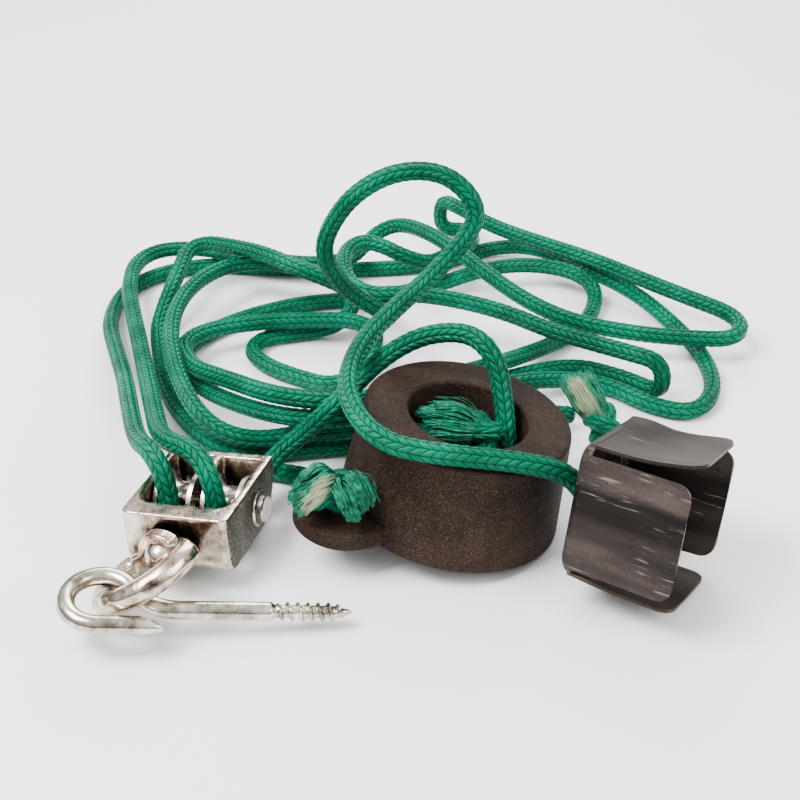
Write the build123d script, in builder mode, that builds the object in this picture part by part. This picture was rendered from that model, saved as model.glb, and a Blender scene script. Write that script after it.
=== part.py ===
"""Hoist kit for a ceiling-hung rack, laid out on a table.

A double-sheave swivel pulley with its screw hook, a ring counterweight, a four-finger spring
clip and the two braided cords that join them.  Millimetres, +Z up, the table is Z = 0.  The
origin is on the table under the middle of the rigid pieces.
"""

import os
from math import asin, cos, degrees, pi, radians, sin, tan

from build123d import *

os.makedirs("parts", exist_ok=True)

# ---- driving dimensions -------------------------------------------------------------------
RUNNING_FIT = 0.06          # radial clearance of a turning fit
STILL_FIT = 0.02            # radial clearance of a pin that stays put

ROPE_DIAMETER = 6.0

# pulley frame: x along the axle, -y towards the crown, z up through the open top
FRAME_WIDTH = 32.0
CHEEK_THICKNESS = 2.4
WEB_THICKNESS = 2.2
CROWN_FRONT = -22.5
CROWN_INSIDE = -16.0
REAR_INSIDE = 11.4
REAR_BACK = 14.4
FRAME_TOP = 9.2
FRAME_BELLY = -9.2
BOSS_RADIUS = 5.2
BOSS_PROUD = 0.9

AXLE_RADIUS = 2.5
RIVET_HEAD_RADIUS = 4.0
RIVET_HEAD_THICKNESS = 1.6

SHEAVE_SIDE_GAP = 0.45
SHEAVE_RADIUS = 8.9
SHEAVE_ROOT_RADIUS = 5.2
SHEAVE_RIM_LAND = 1.3
ROPE_ON_SHEAVE_RADIUS = SHEAVE_ROOT_RADIUS + ROPE_DIAMETER / 2 + 0.5

# swivel: its own frame has the pin along y, and the eye on the -y side
SWIVEL_PIVOT_Y = -19.0      # in the pulley's frame, inside the crown
SWIVEL_LEAN = -12.0         # the pin leans in its cored hole
SWIVEL_PITCH = 4.5
SWIVEL_PIN_RADIUS = 2.3
SHOULDER_FACE = -5.8
SHOULDER_FRONT = -9.8
SHOULDER_RADIUS = 7.6
DOME_RADIUS = 4.8
DOME_SPHERE_RADIUS = 5.0
DOME_HEIGHT = 3.6
PEEN_RADIUS = 3.3
PEEN_FACE = 3.95
PEEN_THICKNESS = 1.2
EYE_RING_RADIUS = 14.1
EYE_BAR_RADIUS = 3.3
EYE_CENTRE_Y = -15.2
EYE_ROLL = 29.6             # the eye's turn about its pin as it lies

# screw hook, flat in its own xy plane, with the hook loop's centre as its origin
HOOK_WIRE_RADIUS = 2.5
HOOK_LOOP_RADIUS = 9.03
HOOK_CLOSING_ANGLE = 62.58
HOOK_BACK_BEND_RADIUS = 13.97
HOOK_FREE_END = 16.66
HOOK_SHANK = 45.83
THREAD_LENGTH = 21.6
THREAD_PITCH = 2.7
THREAD_CORE_RADIUS = 1.75
THREAD_CREST_RADIUS = 2.7
THREAD_POINT_LENGTH = 4.2

# counterweight: z is the ring's own axis, from its base
WEIGHT_HEIGHT = 31.5
WEIGHT_BASE_RADIUS = 33.1
WEIGHT_TOP_RADIUS = 30.2
WEIGHT_BORE_RADIUS = 17.5
LUG_REACH = 37.0
LUG_ANGLE = 209.0
LUG_RADIUS = 13.5
LUG_THICKNESS = 5.6
LUG_NECK_RADIUS = 9.0
LUG_HOLE_RADIUS = 3.9

# spring clip: x runs from its square base to its mouth
CLIP_SHEET = 0.9
CLIP_BASE = 37.7
CLIP_FINGER_WIDTH = 32.6
CLIP_FINGER_LENGTH = 31.8
CLIP_SPLAY = 2.3
CLIP_CORNER_RADIUS = 4.5
CLIP_HOLE_RADIUS = 4.2
CLIP_HOLE_DROP = -2.0      # the cord hole sits a little below the middle of the base

# knots: two turns of the cord round its own core, and the frayed ends that stand out of it
KNOT_RING_RADIUS = 5.0
KNOT_TURN_GAP = 1.7
KNOT_TURN_LEAN = 17.0
KNOT_CORE_RADIUS = 4.3
TAIL_ROOT_RADIUS = 3.0


def posed(origin, yaw, pitch, roll):
    """A location turned by yaw about Z, then pitch about Y, then roll about X."""
    turn = Location((0, 0, 0), (0, 0, yaw)) * Location((0, 0, 0), (0, pitch, 0)) * Location((0, 0, 0), (roll, 0, 0))
    return Location(origin) * turn


# ---- where the rigid pieces lie -----------------------------------------------------------
PULLEY = posed((-57.5, 5.7, 12.3), -14.9, -4.2, -3.8)
SWIVEL = PULLEY * posed((0, SWIVEL_PIVOT_Y, 0), SWIVEL_LEAN, 0, SWIVEL_PITCH)
HOOK = posed((-80.35, -37.15, 12.11), 5.87, 6.06, 4.57)
WEIGHT = posed((12.9, 15.0, 5.7), 0.0, 9.9, -0.7)
CLIP = posed((52.0, -6.1, 24.8), -29.9, -0.1, -16.6)


def export(name, builder, place):
    """Place a finished piece in the row frame, label it and write it."""
    piece = place * builder.part
    piece.label = name
    export_step(piece, f"parts/{name}.step")
    box = piece.bounding_box()
    print(f"{name:16s} volume {piece.volume:9.1f}  z {box.min.Z:6.2f} to {box.max.Z:6.2f}")
    return piece


# ---- where the cords lie: hand-laid points, the tube rounds the corner at each one -----------
CORNER_SHARE = 0.45         # how much of the shorter run a corner uses on each side
SHEAVE_TURN_A = 11          # the points where a cord goes round its sheave
SHEAVE_TURN_B = 7
COIL_START = 14             # cord B's coil is a node of its own from the middle of the run before this point
ROUTE_A = [
    (30, 16, 24), (28.5, 24, 41), (25, 29, 50), (18.5, 36, 52), (7.5, 39, 50), (-2, 39.5, 45),
    (-10.5, 37, 39), (-17.5, 32.5, 33), (-25.5, 30.5, 25.5), (-32, 33.5, 17), (-42.5, 26.5, 11.4),
    (-52, -5.5, 0.8), (-53.5, -3.5, 25.3), (-59, 4, 32), (-71, 15, 28), (-77.5, 40.5, 22), (-84.5, 68, 17),
    (-91.5, 95, 14), (-99, 123, 12), (-104.5, 145, 10.5), (-106, 166.5, 10), (-99, 179.5, 9.8),
    (-85, 181.5, 9.8), (-68.5, 176, 9.8), (-47, 168.5, 9.8), (-31, 164.5, 11), (-20.5, 169.5, 11),
    (-15, 178.5, 13), (-9.5, 185, 16), (-0.5, 185, 19), (11, 168.5, 22), (22, 152.5, 21),
    (33.5, 136.5, 18.5), (45.5, 122.5, 16), (61, 111, 14), (84, 108, 11), (105, 106.5, 10),
    (117, 106.5, 10), (122.5, 116.5, 10), (119, 126.5, 10), (108.5, 134, 11), (91.5, 146, 13),
    (72, 161.5, 15), (52, 174.5, 16), (35, 188.5, 16.5), (23.5, 204.5, 17), (15.5, 213.5, 17.2),
    (15.5, 213.5, 3.2), (28, 211.5, 4.2), (28.5, 182, 12), (20.5, 170.5, 14), (10, 154, 16),
    (-0.5, 153, 20), (-8.5, 158.5, 22), (-17, 160, 23), (-22.5, 150, 23), (-22.5, 134, 23.5),
    (-19, 124, 22.5), (-11.5, 116, 22.5), (-1.5, 118.5, 22), (14, 119.5, 20), (34.5, 115, 17),
    (51.5, 102.5, 15.5), (64.5, 93.5, 16), (76, 86, 16.3), (86.5, 79, 16.5), (88, 80, 3.2),
    (76, 91.5, 3.2), (58.5, 100.5, 3.2), (33, 89.5, 3.2), (8.5, 73.5, 4.2), (-12.5, 47.5, 11),
    (-27.5, 48, 9.8), (-46, 41, 9.8), (-60, 44.5, 12), (-69.5, 55.5, 16.4), (-78.5, 82, 16.4),
    (-83, 110, 16.4), (-79.5, 136.5, 16), (-67.5, 156, 15.2), (-47.5, 155.5, 16.2), (-30.5, 151, 13),
    (-20, 146, 9), (-9.5, 134.5, 9), (-4.5, 120, 13), (-5, 101.5, 22), (-10.5, 93, 30), (-17, 93.5, 34),
    (-22.5, 89.5, 42), (-27, 85.5, 54), (-23.5, 87, 64), (-15.5, 85.5, 75), (-3, 81, 84), (11, 81, 84),
    (20, 78.5, 78), (23, 77, 70), (17.5, 73.5, 62), (7.5, 67, 54), (-3.5, 53.5, 50), (-13, 37.5, 48),
    (-17, 18, 47), (-14.5, 1.5, 46), (-6, -12, 45), (6.5, -13.5, 42.7), (25, -9, 39.4), (38, -6.5, 37.1),
    (49.5, -3.5, 35.9), (47.5, -4.5, 22.9), (58.5, -10.5, 22.9),
]
ROUTE_B = [
    (-17, -3, 20.3), (-19.5, -3, 7.5), (-11.5, 3.5, 3.4), (-13.5, 19.5, 3.4), (-26.5, 30.5, 3.2),
    (-41.5, 34.5, 3.2), (-55, 38.5, 3.8), (-66.5, -1.5, 3.1), (-67.5, 0.5, 24.3), (-72.5, 7, 30),
    (-78.5, 17.5, 26), (-85.5, 43.5, 20), (-93, 73, 14), (-101.5, 100.5, 9), (-108.5, 124, 6),
    (-110, 148.5, 3.4), (-105.5, 162.5, 3.2), (-95.5, 173, 3.2), (-78.5, 180, 3.2), (-56, 176.5, 3.2),
    (-29.5, 175, 3.2), (-3.5, 176.5, 3.2), (18, 182, 3.2), (36, 196, 3.2), (53.5, 191, 6),
    (69.5, 168.5, 8), (88, 152, 6), (101, 129, 3.2), (107.5, 104.5, 3.2), (106.5, 81.5, 3.2),
    (96.5, 67.5, 3.2), (82.5, 73, 3.2), (69.5, 87, 3.2), (53.5, 86, 6), (32, 76, 9.8), (12, 69.5, 8.6),
    (-10.5, 47, 17), (-26, 39.5, 19), (-41.5, 45.5, 17), (-59, 64, 11), (-71, 81.5, 6.5), (-80, 103, 3.2),
    (-76, 119, 3.2), (-61.5, 134.5, 3.2), (-40, 146.5, 3.2), (-15, 150.5, 3.2), (10, 159, 3.2),
    (29.5, 161.5, 9.8), (45.5, 167, 9.8), (63, 163, 9.8), (72.5, 155, 8), (74, 147.5, 3.2),
    (67, 128.5, 3.2), (53.5, 114, 3.2), (37.5, 95, 8.4), (25.5, 78.5, 14.5), (8, 59.5, 20.5),
    (-10, 43, 24), (-26.5, 40.5, 25.3), (-42, 46.5, 24), (-58.5, 66, 18), (-71.5, 79.5, 14),
    (-79, 103, 9.6), (-71.5, 113.5, 9.8), (-52.5, 119.5, 9.8), (-34.5, 121, 9.8), (-19, 121, 9.8),
    (-10, 113.5, 9.8), (-10.5, 97.5, 9.8), (-16.5, 87.5, 6), (-25.5, 85.5, 3.2), (-36.5, 91, 3.2),
    (-48, 98.5, 3.2), (-55.5, 109, 3.2), (-52, 119, 3.2), (-42, 122, 3.2), (-30.5, 125, 3.2),
    (-23, 126, 6), (-18.5, 130.5, 10.5), (-20, 135.5, 14.5), (-27.5, 135.5, 18.5), (-38.5, 135.5, 23.5),
    (-53.5, 148, 24), (-66, 159.5, 21), (-76.5, 168.5, 18.5), (-84, 164.5, 17.5), (-85, 149.5, 16.5),
    (-87, 139, 13.5), (-89, 130.5, 9.5), (-90.5, 122, 5), (-87, 104.5, 3.4), (-81.5, 81.5, 3.2),
    (-71.5, 61.5, 3.2), (-58.5, 46, 3.2), (-43, 44.5, 3.2), (-30.5, 47, 3.2), (-19, 48.5, 3.2),
    (-4.5, 52, 3.2), (15, 64, 3.2), (42, 69, 3.2), (56, 62.5, 6),
]

# ---- pulley frame -------------------------------------------------------------------------
def make_pulley_frame():
    half = FRAME_WIDTH / 2
    slot_outer = half - CHEEK_THICKNESS
    slot_inner = WEB_THICKNESS / 2
    slot_width = slot_outer - slot_inner
    slot_length = REAR_INSIDE - CROWN_INSIDE
    with BuildPart() as frame:
        with BuildSketch(Plane.YZ.offset(-half)):
            with BuildLine():
                Line((CROWN_FRONT, FRAME_TOP), (REAR_BACK, FRAME_TOP))
                Line((REAR_BACK, FRAME_TOP), (REAR_BACK, 5.2))
                ThreePointArc((REAR_BACK, 5.2), (9.4, -3.9), (0.0, FRAME_BELLY))
                Line((0.0, FRAME_BELLY), (-17.6, FRAME_BELLY))
                ThreePointArc((-17.6, FRAME_BELLY), (-21.1, -7.8), (CROWN_FRONT, -4.3))
                Line((CROWN_FRONT, -4.3), (CROWN_FRONT, FRAME_TOP))
            make_face()
        extrude(amount=FRAME_WIDTH)
        crown_corners = frame.edges().filter_by(Axis.Z).group_by(Axis.Y)[0]
        fillet(crown_corners, radius=2.6)
        with BuildSketch(Plane.XY.offset(FRAME_BELLY - 1)):
            for side in (-1, 1):
                with Locations((side * (slot_inner + slot_width / 2), CROWN_INSIDE + slot_length / 2)):
                    slot = Rectangle(slot_width, slot_length)
                corner = slot.vertices().group_by(Axis.Y)[0].sort_by(Axis.X)
                fillet(corner[-1] if side > 0 else corner[0], radius=4.6)
        extrude(amount=FRAME_TOP - FRAME_BELLY + 2, mode=Mode.SUBTRACT)
        with BuildSketch(Plane.YZ.offset(-slot_inner)):
            with BuildLine():
                Line((REAR_INSIDE, FRAME_TOP + 1), (CROWN_INSIDE, FRAME_TOP + 1))
                Line((CROWN_INSIDE, FRAME_TOP + 1), (CROWN_INSIDE, -6.6))
                ThreePointArc((CROWN_INSIDE, -6.6), (-5.2, -0.4), (4.4, 6.0))
                Line((4.4, 6.0), (REAR_INSIDE, FRAME_TOP + 1))
            make_face()
        extrude(amount=WEB_THICKNESS, mode=Mode.SUBTRACT)
        for side in (-1, 1):
            with BuildSketch(Plane.YZ.offset(side * half)):
                Circle(BOSS_RADIUS)
            extrude(amount=side * BOSS_PROUD)
        with BuildSketch(Plane.YZ.offset(-half - BOSS_PROUD)):
            Circle(AXLE_RADIUS + STILL_FIT)
        extrude(amount=FRAME_WIDTH + 2 * BOSS_PROUD, mode=Mode.SUBTRACT)
        lean = posed((0, SWIVEL_PIVOT_Y, 0), SWIVEL_LEAN, 0, SWIVEL_PITCH)
        with BuildSketch(Plane(lean * Location((0, 10, 0), (90, 0, 0)))):
            Circle(SWIVEL_PIN_RADIUS + STILL_FIT)
        extrude(amount=20, mode=Mode.SUBTRACT)
    return frame


def make_axle():
    """The riveted axle: a formed head on the right, a peened end on the left."""
    seat = FRAME_WIDTH / 2 + BOSS_PROUD
    with BuildPart() as axle:
        with BuildSketch(Plane.XY):
            with BuildLine():
                Polyline(
                    (-seat - 1.3, 0),
                    (-seat - 1.3, 2.6),
                    (-seat - 0.9, 3.3),
                    (-seat, 3.3),
                    (-seat, AXLE_RADIUS),
                    (seat, AXLE_RADIUS),
                    (seat, RIVET_HEAD_RADIUS),
                    (seat + RIVET_HEAD_THICKNESS - 0.4, RIVET_HEAD_RADIUS),
                    (seat + RIVET_HEAD_THICKNESS, RIVET_HEAD_RADIUS - 0.5),
                    (seat + RIVET_HEAD_THICKNESS, 0),
                    close=True,
                )
            make_face()
        revolve(axis=Axis.X)
    return axle


def make_sheave(side):
    """A grooved wheel between the web and one cheek."""
    near = WEB_THICKNESS / 2 + SHEAVE_SIDE_GAP
    far = FRAME_WIDTH / 2 - CHEEK_THICKNESS - SHEAVE_SIDE_GAP
    if side < 0:
        near, far = -far, -near
    middle = (near + far) / 2
    bore = AXLE_RADIUS + RUNNING_FIT
    with BuildPart() as sheave:
        with BuildSketch(Plane.XY):
            with BuildLine():
                Polyline(
                    (near + SHEAVE_RIM_LAND, SHEAVE_RADIUS),
                    (near, SHEAVE_RADIUS),
                    (near, bore),
                    (far, bore),
                    (far, SHEAVE_RADIUS),
                    (far - SHEAVE_RIM_LAND, SHEAVE_RADIUS),
                )
                ThreePointArc(
                    (far - SHEAVE_RIM_LAND, SHEAVE_RADIUS),
                    (middle, SHEAVE_ROOT_RADIUS),
                    (near + SHEAVE_RIM_LAND, SHEAVE_RADIUS),
                )
            make_face()
        revolve(axis=Axis.X)
    return sheave


# ---- swivel -------------------------------------------------------------------------------
def make_swivel_pin():
    """Domed head inside the eye, plain shank through the crown, peened inside the frame."""
    dome_centre = SHOULDER_FRONT - 0.1 + (DOME_SPHERE_RADIUS ** 2 - DOME_RADIUS ** 2) ** 0.5
    with BuildPart() as pin:
        with BuildSketch(Plane.XY):
            with BuildLine():
                Polyline(
                    (0, dome_centre - DOME_SPHERE_RADIUS),
                    (0, PEEN_FACE + PEEN_THICKNESS),
                    (PEEN_RADIUS - 0.6, PEEN_FACE + PEEN_THICKNESS),
                    (PEEN_RADIUS, PEEN_FACE + 0.5),
                    (PEEN_RADIUS, PEEN_FACE),
                    (SWIVEL_PIN_RADIUS, PEEN_FACE),
                    (SWIVEL_PIN_RADIUS, SHOULDER_FRONT - 0.1),
                    (DOME_RADIUS, SHOULDER_FRONT - 0.1),
                )
                ThreePointArc(
                    (DOME_RADIUS, SHOULDER_FRONT - 0.1),
                    (3.0, dome_centre - 4.0),
                    (0, dome_centre - DOME_SPHERE_RADIUS),
                )
            make_face()
        revolve(axis=Axis.Y)
    return pin


def make_swivel_eye():
    """A ring of eight-sided bar with a heavy shoulder that turns on the crown."""
    with BuildPart() as eye:
        with BuildSketch(Plane.YZ):
            with Locations((EYE_CENTRE_Y - EYE_RING_RADIUS, 0)):
                RegularPolygon(EYE_BAR_RADIUS, 8, major_radius=False, rotation=22.5)
        revolve(axis=Axis((0, EYE_CENTRE_Y, 0), (0, 0, 1)))
        with BuildSketch(Plane.XY.offset(-EYE_BAR_RADIUS)):
            with BuildLine():
                Line((-12.2, SHOULDER_FRONT + 6), (12.2, SHOULDER_FRONT + 6))
                Line((12.2, SHOULDER_FRONT + 6), (10.4, SHOULDER_FRONT - 1.2))
                ThreePointArc((10.4, SHOULDER_FRONT - 1.2), (0, SHOULDER_FRONT), (-10.4, SHOULDER_FRONT - 1.2))
                Line((-10.4, SHOULDER_FRONT - 1.2), (-12.2, SHOULDER_FRONT + 6))
            make_face()
        extrude(amount=2 * EYE_BAR_RADIUS)
        with BuildSketch(Plane.XZ.offset(-SHOULDER_FACE)):
            Circle(SHOULDER_RADIUS)
        extrude(amount=SHOULDER_FACE - SHOULDER_FRONT)
        with BuildSketch(Plane.XY):
            with BuildLine():
                Polyline(
                    (0, 12),
                    (26, 12),
                    (26, SHOULDER_FACE - 9.6),
                    (SHOULDER_RADIUS, SHOULDER_FACE),
                    (0, SHOULDER_FACE),
                    close=True,
                )
            make_face()
        revolve(axis=Axis.Y, mode=Mode.SUBTRACT)
        with BuildSketch(Plane.XZ):
            Circle(SWIVEL_PIN_RADIUS + RUNNING_FIT)
        extrude(amount=20, mode=Mode.SUBTRACT)
        with BuildSketch(Plane.XZ.offset(-SHOULDER_FRONT)):
            Circle(DOME_RADIUS + 0.5)
        extrude(amount=DOME_HEIGHT + 1, mode=Mode.SUBTRACT)
    return eye


# ---- screw hook ---------------------------------------------------------------------------
def make_screw_hook():
    """A bent wire hook whose shank ends in a wood-screw thread."""
    loop = HOOK_LOOP_RADIUS
    bend = HOOK_BACK_BEND_RADIUS
    closing = radians(HOOK_CLOSING_ANGLE)
    # the loop runs clockwise from its lowest point, past its top, then bends back to run along +x
    loop_end = (loop * sin(closing), loop * cos(closing))
    bend_centre = (loop_end[0] + bend * sin(closing), loop_end[1] + bend * cos(closing))
    shank_start = (bend_centre[0], bend_centre[1] - bend)
    bend_middle = (
        bend_centre[0] - bend * sin(closing / 2),
        bend_centre[1] - bend * cos(closing / 2),
    )
    plain_end = shank_start[0] + HOOK_SHANK - THREAD_LENGTH
    with BuildPart() as hook:
        with BuildLine() as wire:
            Line((HOOK_FREE_END - 5, -loop), (0, -loop))
            ThreePointArc((0, -loop), (-loop, 0), (0, loop))
            ThreePointArc((0, loop), (loop * sin(closing / 2), loop * cos(closing / 2)), loop_end)
            ThreePointArc(loop_end, bend_middle, shank_start)
            Line(shank_start, (plain_end, shank_start[1]))
        with BuildSketch(Plane(origin=(HOOK_FREE_END - 5, -loop, 0), z_dir=(-1, 0, 0))):
            Circle(HOOK_WIRE_RADIUS)
        sweep(path=wire.line)
        with BuildSketch(Plane(origin=(HOOK_FREE_END - 5, -loop, 0), z_dir=(1, 0, 0))):
            Circle(HOOK_WIRE_RADIUS)
        with BuildSketch(Plane(origin=(HOOK_FREE_END, -loop - 1.2, 0), z_dir=(1, 0, 0))):
            Circle(0.35)
        loft()
        turns = int((THREAD_LENGTH - THREAD_POINT_LENGTH) / THREAD_PITCH)
        with BuildSketch(Plane.XY):
            with BuildLine():
                tip = plain_end + THREAD_LENGTH
                axis_y = shank_start[1]
                outline = [(plain_end - 1.0, axis_y), (plain_end - 1.0, axis_y + HOOK_WIRE_RADIUS - 0.02)]
                outline.append((plain_end, axis_y + HOOK_WIRE_RADIUS - 0.02))
                for turn in range(turns):
                    start = plain_end + 0.6 + turn * THREAD_PITCH
                    outline.append((start, axis_y + THREAD_CORE_RADIUS))
                    outline.append((start + 0.35 * THREAD_PITCH, axis_y + THREAD_CORE_RADIUS))
                    outline.append((start + 0.6 * THREAD_PITCH, axis_y + THREAD_CREST_RADIUS))
                    outline.append((start + 0.7 * THREAD_PITCH, axis_y + THREAD_CREST_RADIUS))
                outline.append((tip - THREAD_POINT_LENGTH, axis_y + THREAD_CORE_RADIUS))
                outline.append((tip, axis_y + 0.3))
                outline.append((tip, axis_y))
                Polyline(*outline, close=True)
            make_face()
        revolve(axis=Axis((0, shank_start[1], 0), (1, 0, 0)))
    return hook


# ---- counterweight ------------------------------------------------------------------------
def make_counterweight():
    """A drafted ring with a cord lug cast on at its base."""
    lug_x = LUG_REACH * cos(radians(LUG_ANGLE))
    lug_y = LUG_REACH * sin(radians(LUG_ANGLE))
    with BuildPart() as weight:
        with BuildSketch(Plane.XY):
            with Locations((lug_x, lug_y)):
                Circle(LUG_RADIUS)
            with Locations(Location((0, 0, 0), (0, 0, LUG_ANGLE))):
                with Locations((LUG_REACH - LUG_REACH / 4, 0)):
                    Rectangle(LUG_REACH / 2, 2 * LUG_RADIUS)
        extrude(amount=LUG_THICKNESS)
        fillet(weight.edges().filter_by(Plane.XY), radius=1.0)
        with BuildSketch(Plane.XZ):
            with BuildLine():
                Polyline(
                    (WEIGHT_BORE_RADIUS, 0),
                    (WEIGHT_BASE_RADIUS, 0),
                    (WEIGHT_TOP_RADIUS, WEIGHT_HEIGHT),
                    (WEIGHT_BORE_RADIUS, WEIGHT_HEIGHT),
                    close=True,
                )
            make_face()
        revolve(axis=Axis.Z)
        with BuildSketch(Plane.XY):
            Circle(WEIGHT_BORE_RADIUS)
        extrude(amount=WEIGHT_HEIGHT, mode=Mode.SUBTRACT)
        rims = weight.edges().filter_by(GeomType.CIRCLE).group_by(Axis.Z)
        fillet(rims[-1], radius=1.2)
        with BuildSketch(Plane.XY):
            with Locations((lug_x, lug_y)):
                Circle(LUG_HOLE_RADIUS)
        extrude(amount=LUG_THICKNESS, mode=Mode.SUBTRACT)
    return weight


# ---- spring clip --------------------------------------------------------------------------
def make_spring_clip():
    """A sprung sheet box: a square base and four fingers that splay a little."""
    half = CLIP_BASE / 2
    splay = degrees(asin(CLIP_SPLAY / CLIP_FINGER_LENGTH))
    with BuildPart() as clip:
        with BuildSketch(Plane.YZ):
            RectangleRounded(CLIP_BASE, CLIP_BASE, 2.4)
            with Locations((0, CLIP_HOLE_DROP)):
                Circle(CLIP_HOLE_RADIUS, mode=Mode.SUBTRACT)
        extrude(amount=CLIP_SHEET)
        for quarter in range(4):
            turn = Location((0, 0, 0), (90 * quarter, 0, 0))
            root = turn * Location((0, 0, half - CLIP_SHEET), (0, -splay, 0))
            with BuildSketch(Plane(root)):
                with Locations((CLIP_FINGER_LENGTH / 2 + CLIP_SHEET / 2, 0)):
                    finger = Rectangle(CLIP_FINGER_LENGTH, CLIP_FINGER_WIDTH)
                fillet(finger.vertices().group_by(Axis.X)[-1], radius=CLIP_CORNER_RADIUS)
            extrude(amount=CLIP_SHEET)
    return clip


# ---- cords and knots ----------------------------------------------------------------------
def corner_radii(points, sheave_turn):
    """One radius for each inner point, as large as its shorter run allows."""
    radii = []
    for index in range(1, len(points) - 1):
        before, here, after = (Vector(*points[index + step]) for step in (-1, 0, 1))
        arrive = here - before
        leave = after - here
        turn = radians(arrive.get_angle(leave))
        radius = CORNER_SHARE * min(arrive.length, leave.length) / tan(turn / 2)
        radii.append(ROPE_ON_SHEAVE_RADIUS if index == sheave_turn else radius)
    return radii


def make_cord(points, radii):
    """A round cord along its route, printed with its tightest bends."""
    with BuildPart() as cord:
        with BuildLine() as route:
            FilletPolyline(*points, radius=radii)
        start = Plane(origin=points[0], z_dir=Vector(*points[1]) - Vector(*points[0]))
        with BuildSketch(start):
            Circle(ROPE_DIAMETER / 2)
        sweep(path=route.line)
    length = sum(edge.length for edge in route.edges())
    expected = length * pi * (ROPE_DIAMETER / 2) ** 2
    tightest = ", ".join(f"{radius:.1f}" for radius in sorted(radii)[:6])
    print(f"cord length {length:.0f}, tightest bends {tightest}, volume ratio {cord.part.volume / expected:.4f}")
    return cord


def make_knot(cord, place, axis, tails):
    """A stopper knot about its axis, with its frayed tails given as (direction, length, end radius)."""
    along = Vector(*axis).normalized()
    across = along.cross(Vector(0.2, 0.3, 0.9)).normalized()
    with BuildPart() as knot:
        for side in (-1, 1):
            ring = Plane(origin=along * side * KNOT_TURN_GAP, z_dir=along + across * side * tan(radians(KNOT_TURN_LEAN)))
            with Locations(ring.location):
                Torus(KNOT_RING_RADIUS, ROPE_DIAMETER / 2)
        Sphere(KNOT_CORE_RADIUS)
        for direction, length, end_radius in tails:
            with Locations(Plane(origin=(0, 0, 0), z_dir=direction).location):
                Cone(TAIL_ROOT_RADIUS, end_radius, length, align=(Align.CENTER, Align.CENTER, Align.MIN))
        add(place.inverse() * cord.part, mode=Mode.SUBTRACT)
    return knot


radii_b = corner_radii(ROUTE_B, SHEAVE_TURN_B)
join_b = tuple((near + far) / 2 for near, far in zip(ROUTE_B[COIL_START - 1], ROUTE_B[COIL_START]))
cord_a = make_cord(ROUTE_A, corner_radii(ROUTE_A, SHEAVE_TURN_A))
cord_b = make_cord([*ROUTE_B[:COIL_START], join_b], radii_b[:COIL_START - 1])
cord_b_coil = make_cord([join_b, *ROUTE_B[COIL_START:]], radii_b[COIL_START - 1:])
KNOT_WELL = WEIGHT * Location((5.4, 2.0, 23.6))
KNOT_LUG = WEIGHT * Location((-36.8, -20.4, 12.8))
KNOT_BACK = Location((63.5, 52.0, 9.0))
KNOT_CLIP = CLIP * Location((14.6, 0.0, CLIP_HOLE_DROP))
WELL_TAILS = [((-1.0, 0.1, 0.08), 20.0, 5.6)]
LUG_TAILS = [((-0.62, 0.25, 0.65), 14.5, 6.2), ((0.3, -0.75, 0.5), 13.5, 5.6)]
BACK_TAILS = [((-0.55, 0.6, 0.75), 21.0, 6.2)]
CLIP_TAILS = [((0.8, 0.3, -0.5), 12.0, 4.4)]
pieces = {
    "pulley_frame": (make_pulley_frame(), PULLEY),
    "axle_rivet": (make_axle(), PULLEY),
    "sheave_left": (make_sheave(-1), PULLEY),
    "sheave_right": (make_sheave(1), PULLEY),
    "swivel_pin": (make_swivel_pin(), SWIVEL),
    "swivel_eye": (make_swivel_eye(), SWIVEL * Location((0, 0, 0), (0, -EYE_ROLL, 0))),
    "screw_hook": (make_screw_hook(), HOOK),
    "counterweight": (make_counterweight(), WEIGHT),
    "spring_clip": (make_spring_clip(), CLIP),
    "cord_a": (cord_a, Location()),
    "cord_b": (cord_b, Location()),
    "cord_b_coil": (cord_b_coil, Location()),
    "knot_well": (make_knot(cord_a, KNOT_WELL, (0.3, 1, 0.1), WELL_TAILS), KNOT_WELL),
    "knot_lug": (make_knot(cord_b, KNOT_LUG, (0, 0, 1), LUG_TAILS), KNOT_LUG),
    "knot_back": (make_knot(cord_b_coil, KNOT_BACK, (1, 0.2, 0.2), BACK_TAILS), KNOT_BACK),
    "knot_clip": (make_knot(cord_a, KNOT_CLIP, (1, 0, 0), CLIP_TAILS), KNOT_CLIP),
}
made = {name: export(name, builder, place) for name, (builder, place) in pieces.items()}
boxes = [piece.bounding_box() for piece in made.values()]
print("x", min(b.min.X for b in boxes), max(b.max.X for b in boxes))
print("y", min(b.min.Y for b in boxes), max(b.max.Y for b in boxes))
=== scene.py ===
import math
import random

import bmesh
import bpy
from mathutils import Matrix, Vector


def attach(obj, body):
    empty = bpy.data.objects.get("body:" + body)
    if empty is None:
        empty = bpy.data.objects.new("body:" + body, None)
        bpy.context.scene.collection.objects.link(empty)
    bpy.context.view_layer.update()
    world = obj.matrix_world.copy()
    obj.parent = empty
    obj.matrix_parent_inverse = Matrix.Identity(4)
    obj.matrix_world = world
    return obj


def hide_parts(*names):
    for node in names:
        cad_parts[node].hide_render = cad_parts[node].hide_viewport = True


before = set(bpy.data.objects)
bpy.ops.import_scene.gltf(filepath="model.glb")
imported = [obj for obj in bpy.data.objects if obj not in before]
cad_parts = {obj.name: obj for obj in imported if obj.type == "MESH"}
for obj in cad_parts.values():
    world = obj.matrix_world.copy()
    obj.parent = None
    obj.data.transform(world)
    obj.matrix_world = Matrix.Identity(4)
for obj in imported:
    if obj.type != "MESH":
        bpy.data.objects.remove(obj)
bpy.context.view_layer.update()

MM = 0.001
ROPE = 0.003                     # rope radius
random.seed(7)
GOLDEN_ANGLE = 2.399963          # radians, spreads fibres evenly over a round brush


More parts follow.
